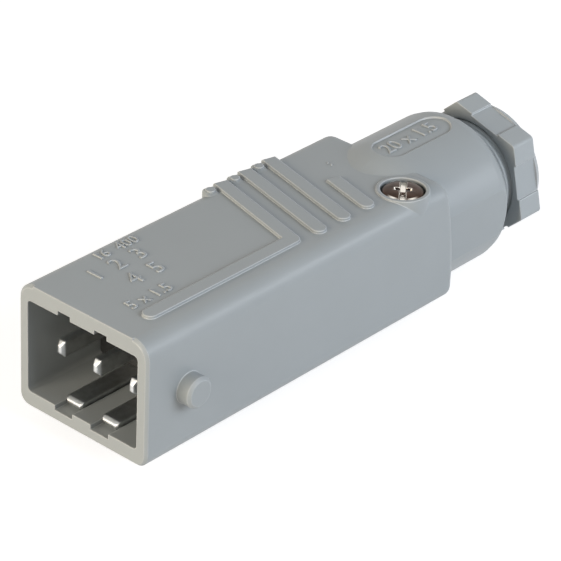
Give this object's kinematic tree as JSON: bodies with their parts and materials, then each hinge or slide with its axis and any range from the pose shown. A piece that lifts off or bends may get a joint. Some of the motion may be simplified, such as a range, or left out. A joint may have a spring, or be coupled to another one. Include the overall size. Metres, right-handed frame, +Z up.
{
  "type": "power plug",
  "caption": "In-line power plug with a shrouded rectangular front around flat contacts, a ribbed grip body, a round neck and a hexagonal screw gland for the cable.",
  "frame": {"origin": "middle of the underside: halfway along the plug, on its middle plane, at the lowest line of the neck", "axes": "+X from the mating face back to the cable end, +Y to the left seen from the cable end looking at the mating face, +Z up to the ribbed top"},
  "size_m": [0.0952, 0.031, 0.0254],
  "materials": {
    "housing_plastic": "satin moulded grey plastic",
    "carrier_plastic": "dark grey insulating plastic",
    "contact_metal": "nickel-plated brass",
    "screw_steel": "zinc-plated steel",
    "nut_plastic": "satin moulded grey plastic",
    "ring_plastic": "slippery black plastic",
    "seal_rubber": "matt black rubber"
  },
  "bodies": {
    "plug_body": {"housing": "housing_plastic", "contact_carrier": "carrier_plastic", "upper_contact_left": "contact_metal", "upper_contact_middle": "contact_metal", "upper_contact_right": "contact_metal", "lower_contact_left": "contact_metal", "lower_contact_right": "contact_metal", "upper_terminal_screw_left": "screw_steel", "upper_terminal_screw_middle": "screw_steel", "upper_terminal_screw_right": "screw_steel", "lower_terminal_screw_left": "screw_steel", "lower_terminal_screw_right": "screw_steel", "housing_screw": "screw_steel", "cable_seal": "seal_rubber"},
    "slip_ring": {"slip_ring": "ring_plastic"},
    "gland_nut": {"gland_nut": "nut_plastic"}
  },
  "joints": [
    {"name": "gland_travel", "type": "slide", "parent": "plug_body", "child": "slip_ring", "axis": [1, 0, 0], "range_m": [-0.0022, 0.002]},
    {"name": "gland_turn", "type": "hinge", "parent": "slip_ring", "child": "gland_nut", "pos_m": [0.043, 0, 0.0127], "axis": [1, 0, 0], "range_deg": [-528, 480]}
  ],
  "couplings": [
    {"joint": "gland_travel", "follows": "gland_turn", "m_per_rad": 0.00023873}
  ]
}
